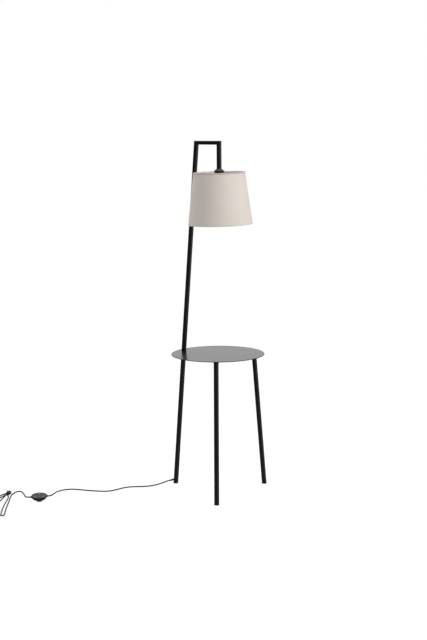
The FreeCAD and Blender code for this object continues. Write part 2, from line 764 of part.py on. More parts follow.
shell_top = switch_height - switch_base_sheet
button_body = revolve([
    (0, 0), (switch_button_radius - 1.2, 0), (switch_button_radius - 0.35, 0.35),
    (switch_button_radius, 1.2), (switch_button_radius, switch_crown + switch_wall + 0.2),
    (switch_button_flange, switch_crown + switch_wall + 0.2),
    (switch_button_flange, switch_crown + switch_wall + 1.6),
    (switch_button_radius - switch_wall, switch_crown + switch_wall + 1.6),
    (switch_button_radius - switch_wall, 3.0), (0, 3.0)])
hole = switch_button_radius + switch_running_clearance
dome_solid = revolve([
    (0, switch_crown), (switch_crown_radius, switch_crown), (25.0, 9.3), (29.5, 13.2),
    (32.2, 18.5), (switch_radius, shell_top), (0, shell_top)])
cavity = revolve([
    (0, switch_crown + switch_wall), (switch_crown_radius - 0.4, switch_crown + switch_wall),
    (24.4, 11.0), (27.9, 14.2), (30.2, 18.9), (switch_radius - switch_wall, shell_top),
    (switch_radius - switch_wall, shell_top + 1), (0, shell_top + 1)])
base_room = Part.makeCylinder(switch_radius + 0.05, 10.0, Vector(0, 0, shell_top))
entry_z = switch_height - switch_entry_depth
entry_end = switch_radius + switch_entry_length
boss_start = switch_radius - 5.0
housing = dome_solid
for sign in (-1, 1):
    boss = Part.makeCone(switch_entry_radius + 0.6, switch_entry_radius, entry_end - boss_start,
                         Vector(sign * boss_start, 0, entry_z), Vector(sign, 0, 0))
    housing = housing.fuse(boss.cut(base_room))
housing = housing.cut(cavity)
housing = housing.cut(Part.makeCylinder(hole, switch_height))
for sign in (-1, 1):
    passage = Part.makeCylinder(cord_radius + 0.15, 14.0, Vector(sign * (boss_start - 4), 0, entry_z),
                                Vector(sign, 0, 0))
    housing = housing.cut(passage)
post_places = [(0.0, 21.5), (18.6, -14.5), (-18.6, -14.5)]
for px, py in post_places:
    post = Part.makeCylinder(3.0, shell_top, Vector(px, py, 0)).common(dome_solid)
    post = post.cut(Part.makeCylinder(1.15, 9.0, Vector(px, py, shell_top - 9.0)))
    housing = housing.fuse(post)
housing = housing.removeSplitter()

base = revolve([
    (0, shell_top), (switch_radius, shell_top), (switch_radius, switch_height - 0.8),
    (switch_radius - 0.8, switch_height), (switch_radius - 4.0, switch_height),
    (switch_radius - 4.6, switch_height - 0.6), (0, switch_height - 0.6)])
screw_solids = []
for px, py in post_places:
    base = base.cut(Part.makeCylinder(1.4, 3.0, Vector(px, py, shell_top - 0.2)))
    base = base.cut(Part.makeCylinder(2.8, 1.2, Vector(px, py, switch_height - 1.6)))
    head = Part.makeCylinder(2.6, 0.9, Vector(px, py, switch_height - 1.6))
    shank = Part.makeCylinder(1.1, 8.0, Vector(px, py, switch_height - 9.0))
    arms = [Part.makeBox(3.2, 0.6, 0.5, Vector(px - 1.6, py - 0.3, switch_height - 1.2)),
            Part.makeBox(0.6, 3.2, 0.5, Vector(px - 0.3, py - 1.6, switch_height - 1.2))]
    screw_solids.append(head.fuse(shank).cut(arms[0]).cut(arms[1]).removeSplitter())

module = Part.makeBox(module_length, module_width, module_height,
                      Vector(-module_length / 2, -module_width / 2, shell_top - module_height))
stem_radius = 3.0
plunger_low = 3.2 + switch_button_travel
plunger = Part.makeCylinder(stem_radius, shell_top - module_height - plunger_low + 0.5,
                            Vector(0, 0, plunger_low))
module = module.fuse(plunger).removeSplitter()

clamp_solids = []
for sign in (-1, 1):
    low = entry_z - cord_radius - 0.3 - 1.6
    bar = Part.makeBox(5.0, 12.0, 1.6, Vector(sign * 19.5 - 2.5, -6.0, low))
    leg_height = shell_top - low - 1.6
    for edge in (-1, 1):
        leg = Part.makeBox(5.0, 2.0, leg_height, Vector(sign * 19.5 - 2.5, edge * 5.0 - 1.0, low + 1.6))
        bar = bar.fuse(leg)
    clamp_solids.append(bar.removeSplitter())

spring_low = 3.0 + 0.05
spring_high = shell_top - module_height - 0.05
spring_pitch = (spring_high - spring_low - 2 * spring_wire) / spring_turns
helix = Part.makeHelix(spring_pitch, spring_high - spring_low - 2 * spring_wire, spring_radius)
helix = helix.translated(Vector(0, 0, spring_low + spring_wire))
wire_section = Part.Wire(Part.makeCircle(spring_wire, Vector(spring_radius, 0, spring_low + spring_wire),
                                         Vector(0, 1, 0)))
spring = Part.Wire(helix.Edges).makePipeShell([wire_section], True, True)

leads = []
for sign in (-1, 1):
    lead_start = module_length / 2 + 0.05
    lead = Part.makeCylinder(cord_radius, entry_end - lead_start,
                             Vector(sign * lead_start, 0, entry_z), Vector(sign, 0, 0))
    leads.append(lead)

turn_place = Placement(Vector(switch_x, switch_y, 0), Rotation(
    Rotation(Vector(0, 0, 1), switch_tilt_heading).multVec(Vector(1, 0, 0)), switch_tilt))
turn_place = turn_place.multiply(Placement(Vector(0, 0, 0), Rotation(Vector(0, 0, 1), switch_heading)))
lowest = button_body.copy()
lowest.Placement = turn_place
switch_place = Placement(Vector(0, 0, floor_gap - lowest.BoundBox.ZMin), Rotation()).multiply(turn_place)


def save_switch(name, shape):
    placed = shape.copy()
    placed.Placement = switch_place.multiply(placed.Placement)
    save(name, placed)


save_switch("switch_housing", housing)
save_switch("switch_base", base)
save_switch("switch_button", button_body)
save_switch("switch_spring", spring)
save_switch("switch_module", module)
save_switch("switch_clamps", Part.makeCompound(clamp_solids))
save_switch("switch_screws", Part.makeCompound(screw_solids))
save_switch("switch_leads", Part.makeCompound(leads))

right_entry = switch_place.multVec(Vector(entry_end, 0, entry_z))
left_entry = switch_place.multVec(Vector(-entry_end, 0, entry_z))
entry_direction = switch_place.Rotation.multVec(Vector(1, 0, 0))
print("switch entries", right_entry, left_entry, "press axis", switch_place.Rotation.multVec(Vector(0, 0, 1)))

cord_1_points += [right_entry + entry_direction * 13.0, right_entry]
cord_1, cord_1_wire = cord_tube("cord_leg_to_switch", cord_1_points, cord_radius)
save("cord_leg_to_switch", cord_1)


# ------------------------------------------------------------------ the hank
# Points round the tie: along the bundle towards the front, across it, and height.

bundle = Placement(Vector(tie_x, tie_y, 0), Rotation(Vector(0, 0, 1), bundle_heading))
near = strand_pitch / 2
tie_high = tie_low + strand_pitch


def hank_route(places):
    return [bundle.multVec(Vector(*place)) for place in places]


cord_2_points = [
    left_entry,
    left_entry - entry_direction * 13.0,
    Vector(-593.5, -572.0, 21.8), Vector(-609.5, -558.8, 23.2), Vector(-627.0, -544.5, 24.2),
    Vector(-644.5, -532.0, 23.9), Vector(-661.0, -522.5, 22.6), Vector(-674.5, -521.0, 20.4),
    Vector(-685.0, -526.5, 16.8), Vector(-690.7, -536.5, 12.3)]
cord_2_points += hank_route([
    (21, 25.5, 8.3), (39, 28, 5.2), (60, 33, 3.4), (73.3, 36.8, 3.2)])
cord_2, cord_2_wire = cord_tube("cord_switch_to_hank", cord_2_points, cord_radius)
save("cord_switch_to_hank", cord_2)

first_loop = [
    (73.3, 36.8, 3.2), (100, 44.4, cord_z), (147, 56.2, cord_z), (200, 70.6, cord_z),
    (240, 82, cord_z), (262.5, 88.5, cord_z), (277, 92.6, cord_z), (284, 95.3, cord_z),
    (293.6, 94.6, cord_z), (296, 85.7, cord_z), (288.3, 80.1, cord_z), (280.9, 78.8, cord_z),
    (266.5, 74.7, cord_z),
    (232, 64.6, cord_z), (190, 52.5, cord_z), (140, 40.5, cord_z), (95, 31, cord_z),
    (62, 24.3, cord_z), (40, 18.8, 3.1), (24, 11.8, 3.6), (13, 5.6, tie_low), (5, near, tie_low)]
low_fold = [
    (-6, near, tie_low), (-15.5, 8.6, 3.6), (-24.5, 4.6, 3.2), (-24.5, -4.6, 3.2), (-15.5, -8.6, 3.6),
    (-6, -near, tie_low), (5, -near, tie_low)]
second_loop = [
    (20, -7, 4.0), (45, -14, 3.1), (90, -23.5, cord_z), (140, -29, cord_z), (188, -31, cord_z),
    (215, -30.3, cord_z), (234, -29, cord_z), (246, -27, cord_z), (254.3, -18.5, cord_z),
    (254.3, -6.7, cord_z), (246, 1.6, cord_z), (232, 2.4, cord_z), (207, 1.2, cord_z), (172, -1, cord_z),
    (132, 0.6, cord_z), (95, 2.2, cord_z), (62, 1.0, 3.0), (40, -0.5, 4.2), (26, 0.5, 7.4),
    (15, 2.2, 9.7), (4, near, tie_high)]
high_fold = [
    (-6, near, tie_high), (-17, 8.8, 10.1), (-26.8, 4.8, 9.9), (-26.8, -4.8, 9.9), (-17, -8.8, 10.1),
    (-6, -near, tie_high), (5, -near, tie_high), (18, -8, 10.1), (31, -18, 8.2), (46, -29, 5.0),
    (66, -39.5, 3.0), (79, -44.6, cord_z)]
cord_3, cord_3_wire = cord_tube(
    "cord_hank", hank_route(first_loop + low_fold + second_loop + high_fold), cord_radius)
print(f"cord_hank: least gap to itself {self_gap(cord_3_wire, cord_radius):.2f}")
save("cord_hank", cord_3)

cord_4_places = [
    (79, -44.6, cord_z), (92, -49.7, cord_z), (112, -55.8, 3.3), (134, -60.4, 5.8),
    (149, -63.4, plug_thickness / 2 + floor_gap), (160, -65.6, plug_thickness / 2 + floor_gap)]
cord_4_points = hank_route(cord_4_places)
cord_4, cord_4_wire = cord_tube("cord_tail", cord_4_points, cord_radius)
save("cord_tail", cord_4)

outside_length = cord_1_wire.Length + cord_2_wire.Length + cord_3_wire.Length + cord_4_wire.Length
print(f"lead outside the lamp {outside_length:.0f} mm")


# ------------------------------------------------------------------- the tie

def round_edged_box(ahead, across, height, corner):
    """Box along the bundle, centred on the tie in plan and standing from z = 0."""
    box = Part.makeBox(ahead, across, height, Vector(-ahead / 2, -across / 2, 0))
    long_edges = [edge for edge in box.Edges if abs(edge.tangentAt(0).x) > 0.9]
    return box.makeFillet(corner, long_edges)


def tie_tail(heading, rise):
    """Flat end of the tie that leaves the knot; heading from straight ahead, rise in degrees."""
    strip = Part.makeBox(tie_tail_length, tie_tail_width, tie_sheet,
                         Vector(0, -tie_tail_width / 2, -tie_sheet / 2))
    turn = Rotation(Vector(0, 0, 1), heading).multiply(Rotation(Vector(0, 1, 0), -rise))
    strip.Placement = Placement(Vector(0, 0, knot_top - tie_tail_width / 2), turn)
    return strip


room_low = tie_low - cord_radius - tie_clearance
room_height = strand_pitch + 2 * cord_radius + 2 * tie_clearance
outer_block = round_edged_box(tie_width, room_height + 2 * tie_sheet, room_height + 2 * tie_sheet, 3.2)
inner_block = round_edged_box(tie_width, room_height, room_height, 2.2)
band_loop = outer_block.translated(Vector(0, 0, room_low - tie_sheet)).cut(
    inner_block.translated(Vector(0, 0, room_low)))
band_top = room_low + room_height + tie_sheet
knot_top = band_top + 4.0
knot_levels = 5
squares = []
for level in range(knot_levels):
    square = Part.makePlane(tie_tail_width, tie_tail_width, Vector(-tie_tail_width / 2, -tie_tail_width / 2, 0))
    turn = Rotation(Vector(0, 0, 1), 36 * level)
    lift = band_top - 0.5 + (knot_top + 0.5 - band_top) * level / (knot_levels - 1)
    square.Placement = Placement(Vector(0, 0, lift), turn)
    squares.append(square.OuterWire)
knot = Part.makeLoft(squares, True, False)
tie = band_loop.fuse([knot, tie_tail(215.0, 14.0), tie_tail(150.0, 22.0)]).removeSplitter()
tie.Placement = bundle
save("hank_tie", tie)


# ------------------------------------------------------------------ the plug
# Flat two-pin plug. Its own X runs from the lead to the pins.

plug_axis = cord_4_points[-1] - cord_4_points[-2]
plug_turn = math.degrees(math.atan2(plug_axis.y, plug_axis.x))
plug_place = Placement(cord_4_points[-1], Rotation(Vector(0, 0, 1), plug_turn))
nose = plug_relief_length
shoulder_x = nose + plug_nose_length
front_x = nose + plug_length
half_nose = plug_nose_width / 2
half_plug = plug_width / 2
outline = [(nose, -half_nose), (shoulder_x, -half_plug), (front_x, -half_plug), (front_x, half_plug),
           (shoulder_x, half_plug), (nose, half_nose), (nose, -half_nose)]
block = Part.Face(Part.makePolygon([Vector(x, y, -plug_thickness / 2) for x, y in outline]))
block = block.extrude(Vector(0, 0, plug_thickness))
block = block.makeFillet(3.0, [edge for edge in block.Edges if abs(edge.tangentAt(0).z) > 0.9])
rims = [edge for edge in block.Edges if abs(abs(edge.CenterOfMass.z) - plug_thickness / 2) < 0.01]
block = block.makeChamfer(1.2, rims)
plug_relief = Part.makeCone(cord_radius + 0.5, 5.6, nose + 1.0, Vector(0, 0, 0), Vector(1, 0, 0))
plug_body = block.fuse(plug_relief)
pins = []
for sign in (-1, 1):
    root = Vector(front_x, sign * pin_pitch / 2, 0)
    sleeve_part = Part.makeCylinder(pin_radius, pin_sleeve_length, root, Vector(1, 0, 0))
    plug_body = plug_body.fuse(sleeve_part)
for sign in (-1, 1):
    deep = Vector(front_x - pin_root, sign * pin_pitch / 2, 0)
    plug_body = plug_body.cut(Part.makeCylinder(pin_core + thread_clearance, 2 * pin_length, deep, Vector(1, 0, 0)))
    thin = Part.makeCylinder(pin_core, pin_root + pin_sleeve_length + 1, deep, Vector(1, 0, 0))
    bare_length = pin_length - pin_sleeve_length - thread_clearance - pin_radius
    bare_start = Vector(front_x + pin_sleeve_length + thread_clearance, deep.y, 0)
    bare = Part.makeCylinder(pin_radius, bare_length, bare_start, Vector(1, 0, 0))
    tip_end = Part.makeSphere(pin_radius, bare_start + Vector(bare_length, 0, 0))
    pins.append(thin.fuse([bare, tip_end]).removeSplitter())
plug_body = plug_body.removeSplitter()
plug_body.Placement = plug_place
save("plug_body", plug_body)
pin_pair = Part.makeCompound(pins)
pin_pair.Placement = plug_place
save("plug_pins", pin_pair)


# --------------------------------------------------- lead inside the tubes

inner_start = exit_axis + outer_face * (half_tube - tube_wall - relief_collar)
foot_corner = exit_axis - outer_face * inner_foot_offset
leg_up = mast_up
cable_end = Vector(drop_x, 0, drop_end_height - nipple_down - 1.0)
inner_points = [
    inner_start, foot_corner, foot_corner + leg_up * 22.0,
    exit_axis + leg_up * 60.0, mast_corner, drop_corner, cable_end]
inner_wire, inner_radii = route_wire(inner_points, inner_bend, 0.85)
inner_section = Part.Wire(Part.makeCircle(cord_radius, inner_start, outer_face))
inner_cable = inner_wire.makePipeShell([inner_section], True, False)
print(f"inner_cable: length {inner_wire.Length:.0f}, bends " + " ".join(f"{r:.1f}" for r in inner_radii))
save("inner_cable", inner_cable)

cores = []
plate_top = drop_end_height - core_under + 2.5 + 1.0
for sign in (-1, 1):
    core_points = [
        cable_end + Vector(sign * 1.25, 0, 0), cable_end + Vector(sign * 1.25, 0, -2.5),
        Vector(drop_x + sign * 5.5, 1.6, cable_end.z - 6.5), Vector(drop_x + sign * 9.0, 2.85, plate_top + 4.5),
        Vector(drop_x + sign * 9.0, 2.85, plate_top + 0.05)]
    core_wire, core_radii = route_wire(core_points)
    core_section = Part.Wire(Part.makeCircle(core_wire_radius, core_points[0], Vector(0, 0, 1)))
    cores.append(core_wire.makePipeShell([core_section], True, False))
save("socket_wires", Part.makeCompound(cores))
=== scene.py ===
import math
import bpy
import numpy as np
from mathutils import Matrix, Vector


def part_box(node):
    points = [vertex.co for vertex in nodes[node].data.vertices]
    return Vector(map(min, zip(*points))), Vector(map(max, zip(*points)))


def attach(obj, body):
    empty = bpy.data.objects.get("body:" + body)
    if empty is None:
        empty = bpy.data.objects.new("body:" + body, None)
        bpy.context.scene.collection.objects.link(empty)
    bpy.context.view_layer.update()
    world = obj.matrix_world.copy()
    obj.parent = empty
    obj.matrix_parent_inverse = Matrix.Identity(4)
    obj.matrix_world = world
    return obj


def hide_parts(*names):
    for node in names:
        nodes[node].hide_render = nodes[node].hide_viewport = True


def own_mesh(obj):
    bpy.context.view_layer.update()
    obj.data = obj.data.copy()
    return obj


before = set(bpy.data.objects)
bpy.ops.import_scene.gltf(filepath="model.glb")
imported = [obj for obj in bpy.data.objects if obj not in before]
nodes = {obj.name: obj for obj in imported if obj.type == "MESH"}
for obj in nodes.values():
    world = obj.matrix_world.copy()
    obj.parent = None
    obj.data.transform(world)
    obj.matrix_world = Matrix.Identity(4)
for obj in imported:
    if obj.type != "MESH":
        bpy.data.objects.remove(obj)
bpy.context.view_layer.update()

mm = 0.001
collection = bpy.context.scene.collection


def middle(node):  # centre of a CAD node's box
    low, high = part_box(node)
    return (low + high) / 2


def added(name, data):  # a new object in the scene
    piece = bpy.data.objects.new(name, data)
    collection.objects.link(piece)
    return piece


def turned(degrees, axis):
    return Matrix.Rotation(math.radians(degrees), 4, axis)


def towards(heading):  # level direction from the lamp to a camera with this heading
    turn = math.radians(heading)
    return (math.sin(turn), -math.cos(turn), 0)


# the camera, worked out from the photograph's own vanishing lines and the lamp's measures
view = {"place": (3.0696, -4.7976, 1.6110), "heading": 32.639, "down": 8.606, "roll": -0.477,
        "lens": 75.63, "sensor": 36.0, "farthest": 200}
cameraData = bpy.data.cameras.new("photoCamera")
cameraData.sensor_fit = "VERTICAL"
cameraData.sensor_height = view["sensor"]
cameraData.lens = view["lens"]
cameraData.clip_end = view["farthest"]
camera = added("photoCamera", cameraData)
camera.matrix_world = (Matrix.Translation(view["place"]) @ turned(view["heading"], "Z")
                       @ turned(90 - view["down"], "X") @ turned(view["roll"], "Z"))
bpy.context.scene.camera = camera
print("camera placed")

# the lead, in two stretches, one on each side of the foot switch
lead = {"radius": 2.75 * mm, "tie": (-0.72135, -0.539), "heading": 290.0,
        "floor": 2.8 * mm,  # axis height of a run on the floor
        "low": 4.1 * mm, "high": 10.2 * mm,  # axis heights of the lower and upper run in the tie
        "side": 3.05 * mm,  # how far a run in the tie lies from the tie's middle
        "roundness": 4, "smoothness": 7}
floorZ, lowZ, highZ, side = lead["floor"], lead["low"], lead["high"], lead["side"]

legToSwitch = [
    (-0.23374, -0.01176, 0.01133), (-0.24393, -0.01889, 0.00863), (-0.2530, -0.0380, 0.0036),
    (-0.2595, -0.0660, floorZ), (-0.2670, -0.0960, floorZ), (-0.2850, -0.1230, floorZ),
    (-0.3180, -0.1470, floorZ), (-0.3450, -0.1680, floorZ), (-0.3585, -0.1970, floorZ),
    (-0.3635, -0.2260, floorZ), (-0.3725, -0.2550, floorZ), (-0.3900, -0.2790, floorZ),
    (-0.4240, -0.2935, floorZ), (-0.4600, -0.3050, floorZ), (-0.4970, -0.3130, floorZ),
    (-0.5310, -0.3220, floorZ), (-0.5520, -0.3380, floorZ), (-0.5590, -0.3630, 0.0046),
    (-0.5520, -0.3920, 0.0092), (-0.5405, -0.4190, 0.0152), (-0.5278, -0.4425, 0.0206),
    (-0.5166, -0.4615, 0.0248), (-0.5078, -0.4764, 0.0274), (-0.5042, -0.4910, 0.0274),
    (-0.50795, -0.50468, 0.02177), (-0.51759, -0.51338, 0.02153)]

switchToHank = [
    (-0.57260, -0.56286, 0.02051), (-0.58225, -0.57156, 0.02027), (-0.5935, -0.5720, 0.0218),
    (-0.6095, -0.5588, 0.0232), (-0.6270, -0.5445, 0.0242), (-0.6445, -0.5320, 0.0239),
    (-0.6610, -0.5225, 0.0226), (-0.6745, -0.5210, 0.0204), (-0.6850, -0.5265, 0.0168),
    (-0.6907, -0.5365, 0.0123)]

# the hank in the tie's own frame: along the bundle to the front, across it, up
hankRoute = [
    (0.0210, 0.0255, 0.0083), (0.0390, 0.0280, 0.0052), (0.0600, 0.0330, 0.0034),
    (0.1000, 0.0444, floorZ), (0.1470, 0.0562, floorZ), (0.2000, 0.0706, floorZ),
    (0.2400, 0.0820, floorZ), (0.2625, 0.0885, floorZ), (0.2770, 0.0926, floorZ),
    (0.2840, 0.0953, floorZ), (0.2936, 0.0946, floorZ), (0.2960, 0.0857, floorZ),
    (0.2883, 0.0801, floorZ), (0.2809, 0.0788, floorZ), (0.2665, 0.0747, floorZ),
    (0.2320, 0.0646, floorZ), (0.1900, 0.0525, floorZ), (0.1400, 0.0405, floorZ),
    (0.0950, 0.0310, floorZ), (0.0620, 0.0243, floorZ), (0.0400, 0.0188, 0.0031),
    (0.0240, 0.0118, 0.0036), (0.0130, 0.0056, lowZ), (0.0050, side, lowZ),
    (-0.0060, side, lowZ), (-0.0155, 0.0086, 0.0036), (-0.0245, 0.0046, 0.0032),
    (-0.0245, -0.0046, 0.0032), (-0.0155, -0.0086, 0.0036), (-0.0060, -side, lowZ),
    (0.0050, -side, lowZ), (0.0200, -0.0070, 0.0040), (0.0450, -0.0140, 0.0031),
    (0.0900, -0.0235, floorZ), (0.1400, -0.0290, floorZ), (0.1880, -0.0310, floorZ),
    (0.2150, -0.0303, floorZ), (0.2340, -0.0290, floorZ), (0.2460, -0.0270, floorZ),
    (0.2543, -0.0185, floorZ), (0.2543, -0.0067, floorZ), (0.2460, 0.0016, floorZ),
    (0.2320, 0.0024, floorZ), (0.2070, 0.0012, floorZ), (0.1720, -0.0010, floorZ),
    (0.1320, 0.0006, floorZ), (0.0950, 0.0022, floorZ), (0.0620, 0.0010, 0.0030),
    (0.0400, -0.0005, 0.0042), (0.0260, 0.0005, 0.0074), (0.0150, 0.0022, 0.0097),
    (0.0040, side, highZ), (-0.0060, side, highZ), (-0.0170, 0.0088, 0.0101),
    (-0.0268, 0.0048, 0.0099), (-0.0268, -0.0048, 0.0099), (-0.0170, -0.0088, 0.0101),
    (-0.0060, -side, highZ), (0.0050, -side, highZ), (0.0180, -0.0080, 0.0101),
    (0.0310, -0.0180, 0.0082), (0.0460, -0.0290, 0.0050), (0.0660, -0.0395, 0.0030),
    (0.0920, -0.0497, floorZ), (0.1120, -0.0558, 0.0033), (0.1340, -0.0604, 0.0058),
    (0.1490, -0.0634, 0.0069), (0.1600, -0.0656, 0.0069)]
bundle = Matrix.Translation((*lead["tie"], 0)) @ turned(lead["heading"], "Z")
switchToHank += [tuple(bundle @ Vector(place)) for place in hankRoute]


def leadCurve(name, route):
    # round cord along a quadratic NURBS spline that has the route's points as control points
    curve = bpy.data.curves.new(name, "CURVE")
    curve.dimensions = "3D"
    curve.bevel_depth = 1.0  # times each point's radius
    curve.bevel_resolution = lead["roundness"]
    curve.use_fill_caps = True
    spline = curve.splines.new("NURBS")
    spline.points.add(len(route) - 1)
    spline.points.foreach_set("co", np.c_[np.array(route), np.ones(len(route))].ravel())
    spline.points.foreach_set("radius", np.full(len(route), lead["radius"]))
    spline.order_u = 3
    spline.use_endpoint_u = True
    spline.resolution_u = lead["smoothness"]
    piece = added(name, curve)
    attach(piece, "lamp")
    return piece


nearLead = leadCurve("leadToSwitch", legToSwitch)
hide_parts("cord_leg_to_switch")
farLead = leadCurve("leadToPlug", switchToHank)
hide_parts("cord_switch_to_hank", "cord_hank", "cord_tail")
print("lead laid")


class Wire:  # one output socket that can be used in sums
    def __init__(self, shop, socket):
        self.shop, self.socket = shop, socket

    def sum(self, operation, first, second=0.0, clamp=False):
        return self.shop.add("Math", {"operation": operation, "use_clamp": clamp},
                             {0: first, 1: second})

    def __add__(self, other): return self.sum("ADD", self, other)
    def __radd__(self, other): return self.sum("ADD", other, self)
    def __sub__(self, other): return self.sum("SUBTRACT", self, other)
    def __rsub__(self, other): return self.sum("SUBTRACT", other, self)
    def __mul__(self, other): return self.sum("MULTIPLY", self, other)
    def __rmul__(self, other): return self.sum("MULTIPLY", other, self)
    def most(self, other): return self.sum("MAXIMUM", self, other)
    def sine(self): return self.sum("SINE", self)
    def size(self): return self.sum("ABSOLUTE", self)
    def bounded(self): return self.sum("ADD", self, 0.0, clamp=True)  # kept between 0 and 1


class Shop:  # the node tree of one material or of the world
    def __init__(self, owner):
        owner.use_nodes = True
        self.tree = owner.node_tree
        self.tree.nodes.clear()

    def add(self, kind, settings=None, values=None, out=0):
        # a node of this kind: its settings, the values or links of its inputs, the output to use
        node = self.tree.nodes.new("ShaderNode" + kind)
        for key, value in (settings or {}).items():
            setattr(node, key, value)
        for key, value in (values or {}).items():
            entry = node.inputs[key]
            if isinstance(value, Wire):
                self.tree.links.new(value.socket, entry)
            elif entry.type == "RGBA" and len(value) == 3:
                entry.default_value = (*value, 1)
            else:
                entry.default_value = value
        return Wire(self, node.outputs[out]) if node.outputs else None

    def place(self, coordinates="Object"):
        return self.add("TexCoord", out=coordinates)

    def noise(self, where, scale, detail=3.0, roughness=0.55):
        return self.add("TexNoise", None, {"Vector": where, "Scale": scale, "Detail": detail,
                                           "Roughness": roughness})

    def stretched(self, where, scale, turn=(0, 0, 0)):
        return self.add("Mapping", None, {"Vector": where, "Scale": scale, "Rotation": turn})

    def blend(self, share, first, second):  # colour mix
        return self.add("Mix", {"data_type": "RGBA"}, {0: share, 6: first, 7: second}, 2)

    def bump(self, height, distance, strength):
        return self.add("Bump", None, {"Height": height, "Distance": distance,
                                       "Strength": strength})

    def along(self, way, direction):  # how far one vector points along another
        return self.add("VectorMath", {"operation": "DOT_PRODUCT"}, {0: way, 1: direction}, 1)

    def rays(self):  # seen by the camera, and seen in a mirror or through glass
        path = self.add("LightPath").socket.node.outputs
        seen, glossy, through = (Wire(self, path["Is " + kind + " Ray"])
                                 for kind in ("Camera", "Glossy", "Transmission"))
        return seen, glossy.most(through)


def material(name, surface, **fixed):
    # surface(shop) gives what varies over the piece, fixed holds the shader's own constants
    made = bpy.data.materials.new(name)
    shop = Shop(made)
    values = {key.replace("_", " "): value for key, value in fixed.items()}
    values.update(surface(shop))
    shader = shop.add("BsdfPrincipled", None, values)
    shop.add("OutputMaterial", None, {"Surface": shader})
    return made


# In the settings of the finishes a pattern is its noise scale per metre, detail and roughness,
# a bump is its depth in metres and its strength, a spread is how much a pattern roughens, and
# smoothest is what is added to the piece's own roughness where no pattern roughens it.
satin = {"colour": (0.0045, 0.0045, 0.0046), "worn": (0.0075, 0.0075, 0.0076),
         "tubeRough": 0.33, "plateRough": 0.25, "grain": (2200.0, 2.0), "cloud": (9.0, 4.0),
         "smoothest": -0.03, "cloudSpread": 0.06, "grainSpread": 0.04, "bump": (0.00002, 0.12)}


def satinBlack(rough):
    def surface(shop):
        where = shop.place()
        grain = shop.noise(where, *satin["grain"])  # the powder coat's fine orange peel
        cloud = shop.noise(where, *satin["cloud"])
        return {"Base Color": shop.blend(cloud, satin["colour"], satin["worn"]),
                "Roughness": (rough + satin["smoothest"] + satin["cloudSpread"] * cloud
                              + satin["grainSpread"] * (grain - 0.5)),
                "Normal": shop.bump(grain, *satin["bump"])}
    return surface


metal = {"speck": (700.0, 4.0), "cloud": (60.0, 3.0), "cloudShare": 0.6, "speckShare": 0.4,
         "smoothest": -0.08, "speckSpread": 0.2, "bump": (0.00003, 0.5)}


def bareMetal(colour, dark, rough):
    def surface(shop):
        where = shop.place()
        speck = shop.noise(where, *metal["speck"])
        cloud = shop.noise(where, *metal["cloud"])
        share = cloud * metal["cloudShare"] + metal["speckShare"] * speck
        return {"Base Color": shop.blend(share, dark, colour),
                "Roughness": rough + metal["smoothest"] + metal["speckSpread"] * speck,
                "Normal": shop.bump(speck, *metal["bump"])}
    return surface


plastic = {"grain": 2600.0, "grainDetail": 2.0, "cloud": (40.0, 3.0), "smoothest": -0.06,
           "cloudSpread": 0.12, "bump": (0.00005, 0.4)}


def moulded(colour, pale, rough, grainScale=plastic["grain"]):
    def surface(shop):
        where = shop.place()
        grain = shop.noise(where, grainScale, plastic["grainDetail"])
        cloud = shop.noise(where, *plastic["cloud"])
        return {"Base Color": shop.blend(cloud, colour, pale),
                "Roughness": rough + plastic["smoothest"] + plastic["cloudSpread"] * cloud,
                "Normal": shop.bump(grain, *plastic["bump"])}
    return surface


dust = {"grey": (0.044, 0.043, 0.044), "dusty": (0.074, 0.073, 0.075),
        "scuffed": (0.16, 0.16, 0.16),
        "patch": (130.0, 3.0, 0.6), "patchFrom": 0.47, "patchGain": 5.0,
        "scuff": (900.0, 3.0), "scuffStretch": (1.0, 0.12, 1.0), "scuffTurn": (0, 0, 0.7),
        "scuffGain": 0.6, "rough": 0.62, "patchSpread": 0.12, "bump": (0.00004, 0.5)}


def dustyGrey(shop):  # the switch's underside: matte grey with faint paler patches and scuffs
    where = shop.place()
    patch = shop.noise(where, *dust["patch"])
    scuff = shop.noise(shop.stretched(where, dust["scuffStretch"], dust["scuffTurn"]),
                       *dust["scuff"])
    mask = ((patch - dust["patchFrom"]) * dust["patchGain"]).bounded()
    tone = shop.blend(mask, dust["grey"], dust["dusty"])
    return {"Base Color": shop.blend((scuff - 0.5) * dust["scuffGain"], tone, dust["scuffed"]),
            "Roughness": dust["rough"] + dust["patchSpread"] * patch,
            "Normal": shop.bump(scuff, *dust["bump"])}


sheath = {"colour": (0.007, 0.007, 0.0075), "pale": (0.014, 0.014, 0.0145),
          "grain": (1800.0, 2.0), "cloud": (25.0, 2.0), "rough": 0.5, "grainSpread": 0.1,
          "bump": (0.00004, 0.4)}


def sheathSkin(shop):
    where = shop.place()
    grain = shop.noise(where, *sheath["grain"])
    cloud = shop.noise(where, *sheath["cloud"])
    return {"Base Color": shop.blend(cloud, sheath["colour"], sheath["pale"]),
            "Roughness": sheath["rough"] + sheath["grainSpread"] * grain,
            "Normal": shop.bump(grain, *sheath["bump"])}


glass = {"cloud": (30.0, 2.0), "rough": 0.01, "cloudSpread": 0.02}


def clearGlass(shop):
    cloud = shop.noise(shop.place(), *glass["cloud"])
    return {"Roughness": glass["rough"] + glass["cloudSpread"] * cloud}


